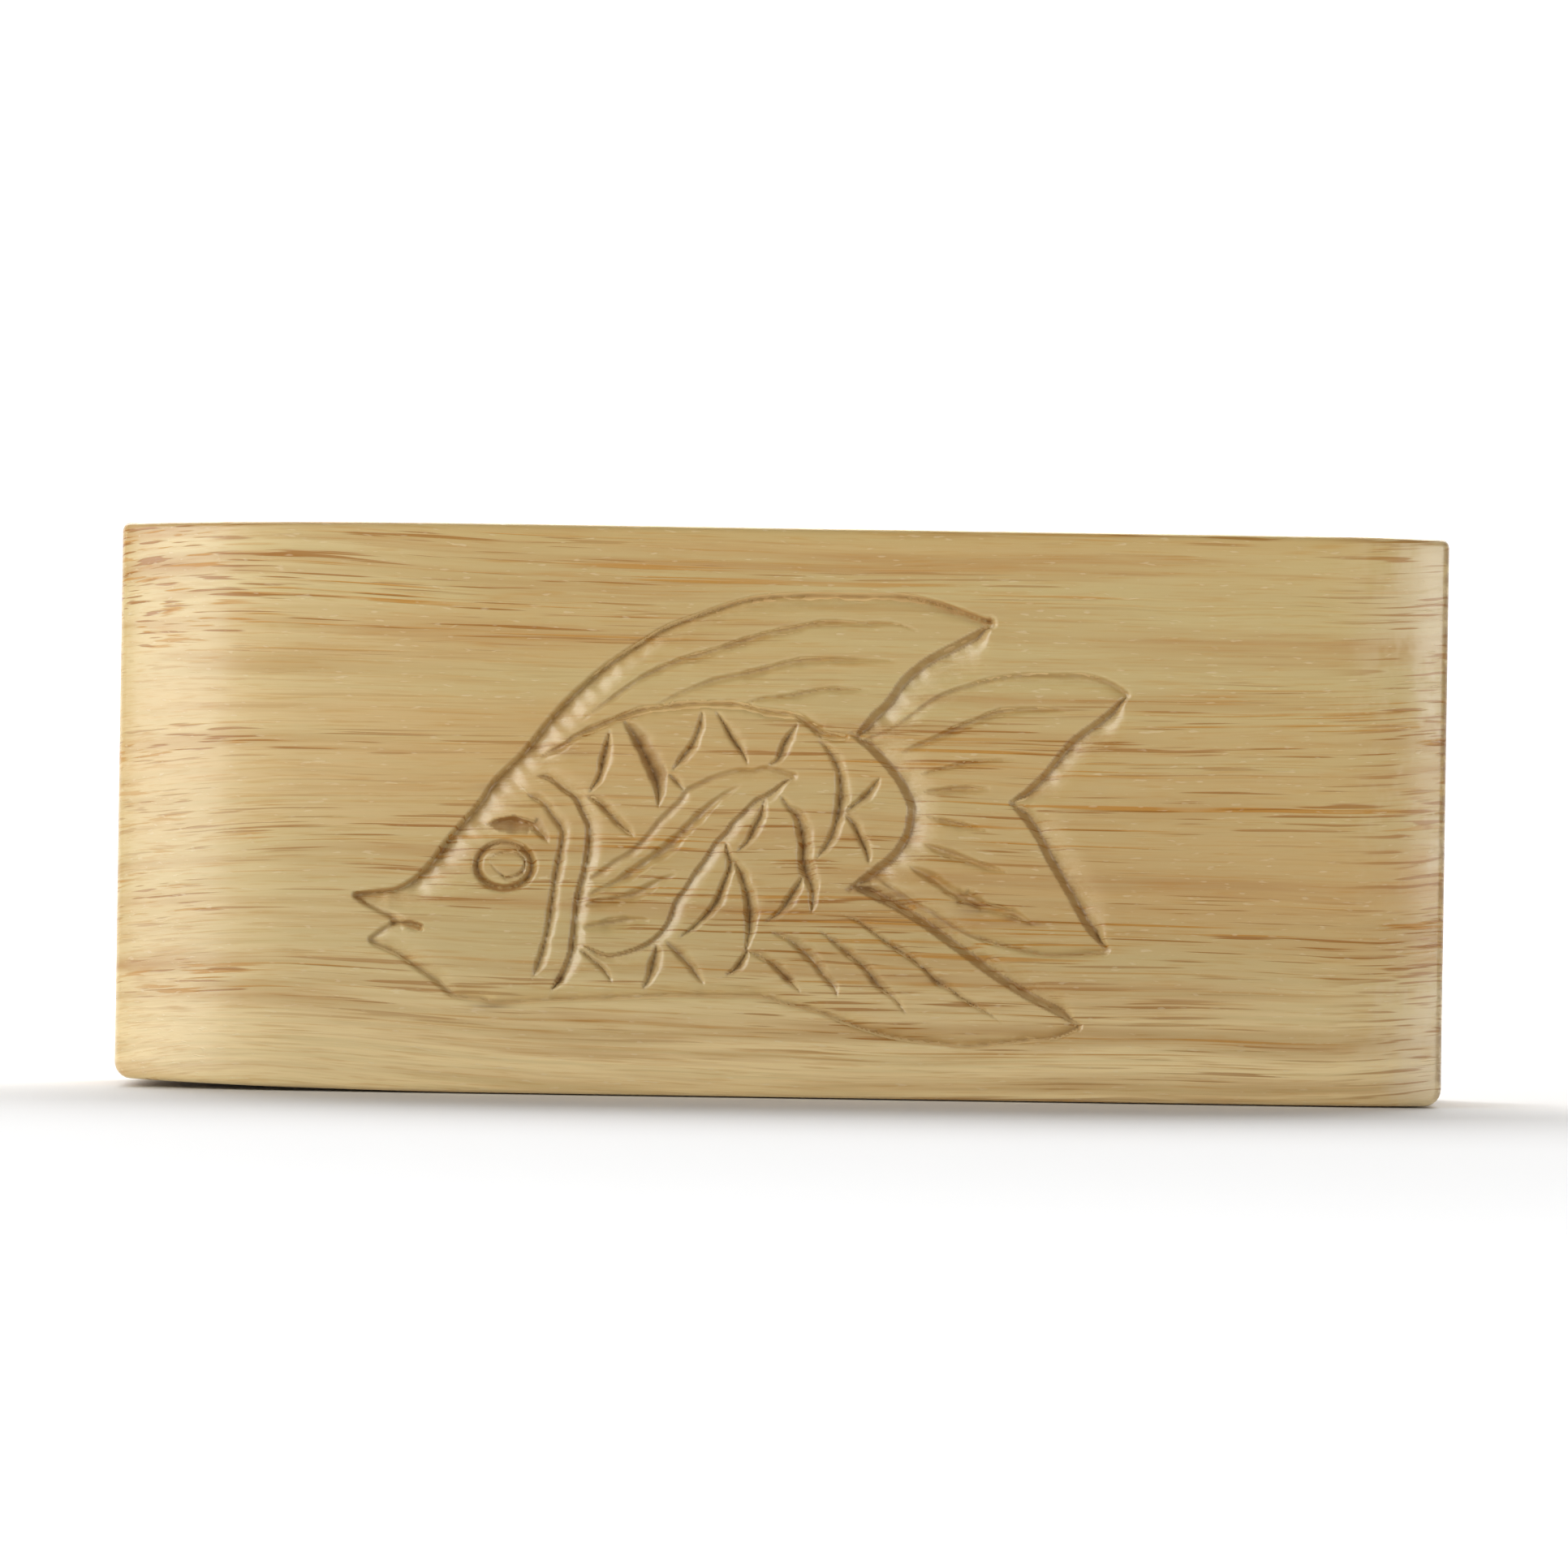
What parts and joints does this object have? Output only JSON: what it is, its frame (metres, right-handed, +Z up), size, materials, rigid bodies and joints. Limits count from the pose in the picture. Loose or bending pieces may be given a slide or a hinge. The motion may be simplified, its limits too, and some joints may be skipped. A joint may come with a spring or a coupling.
{
  "type": "box guiro",
  "caption": "Hollow wooden box guiro with a fish carved on its front board, sawn scraping ridges on the back and a scraper stick kept in its end bores",
  "frame": {"origin": "centre of the bounding box on the plane that the long lower edge stands on", "axes": "X along the instrument with the carved fish's head at -X, Y through it with the carved face at -Y, Z up"},
  "size_m": [0.2, 0.04, 0.0855],
  "materials": {
    "front_wood": "satin oiled pale hardwood, hand carved",
    "back_wood": "satin oiled pale hardwood, sawn ridges",
    "rail_wood": "satin oiled pale hardwood",
    "end_wood": "satin oiled pale hardwood",
    "dowel_wood": "darker hardwood",
    "stick_wood": "darker hardwood, worn smooth"
  },
  "bodies": {
    "block": {"front_board": "front_wood", "back_board": "back_wood", "top_rail": "rail_wood", "bottom_rail": "rail_wood", "left_end_block": "end_wood", "right_end_block": "end_wood", "corner_dowels": "dowel_wood"},
    "scraper": {"scraper": "stick_wood"}
  },
  "joints": [
    {"name": "scraper_slide", "type": "slide", "parent": "block", "child": "scraper", "axis": [1, 0, 0], "range_m": [0, 0.186]}
  ]
}
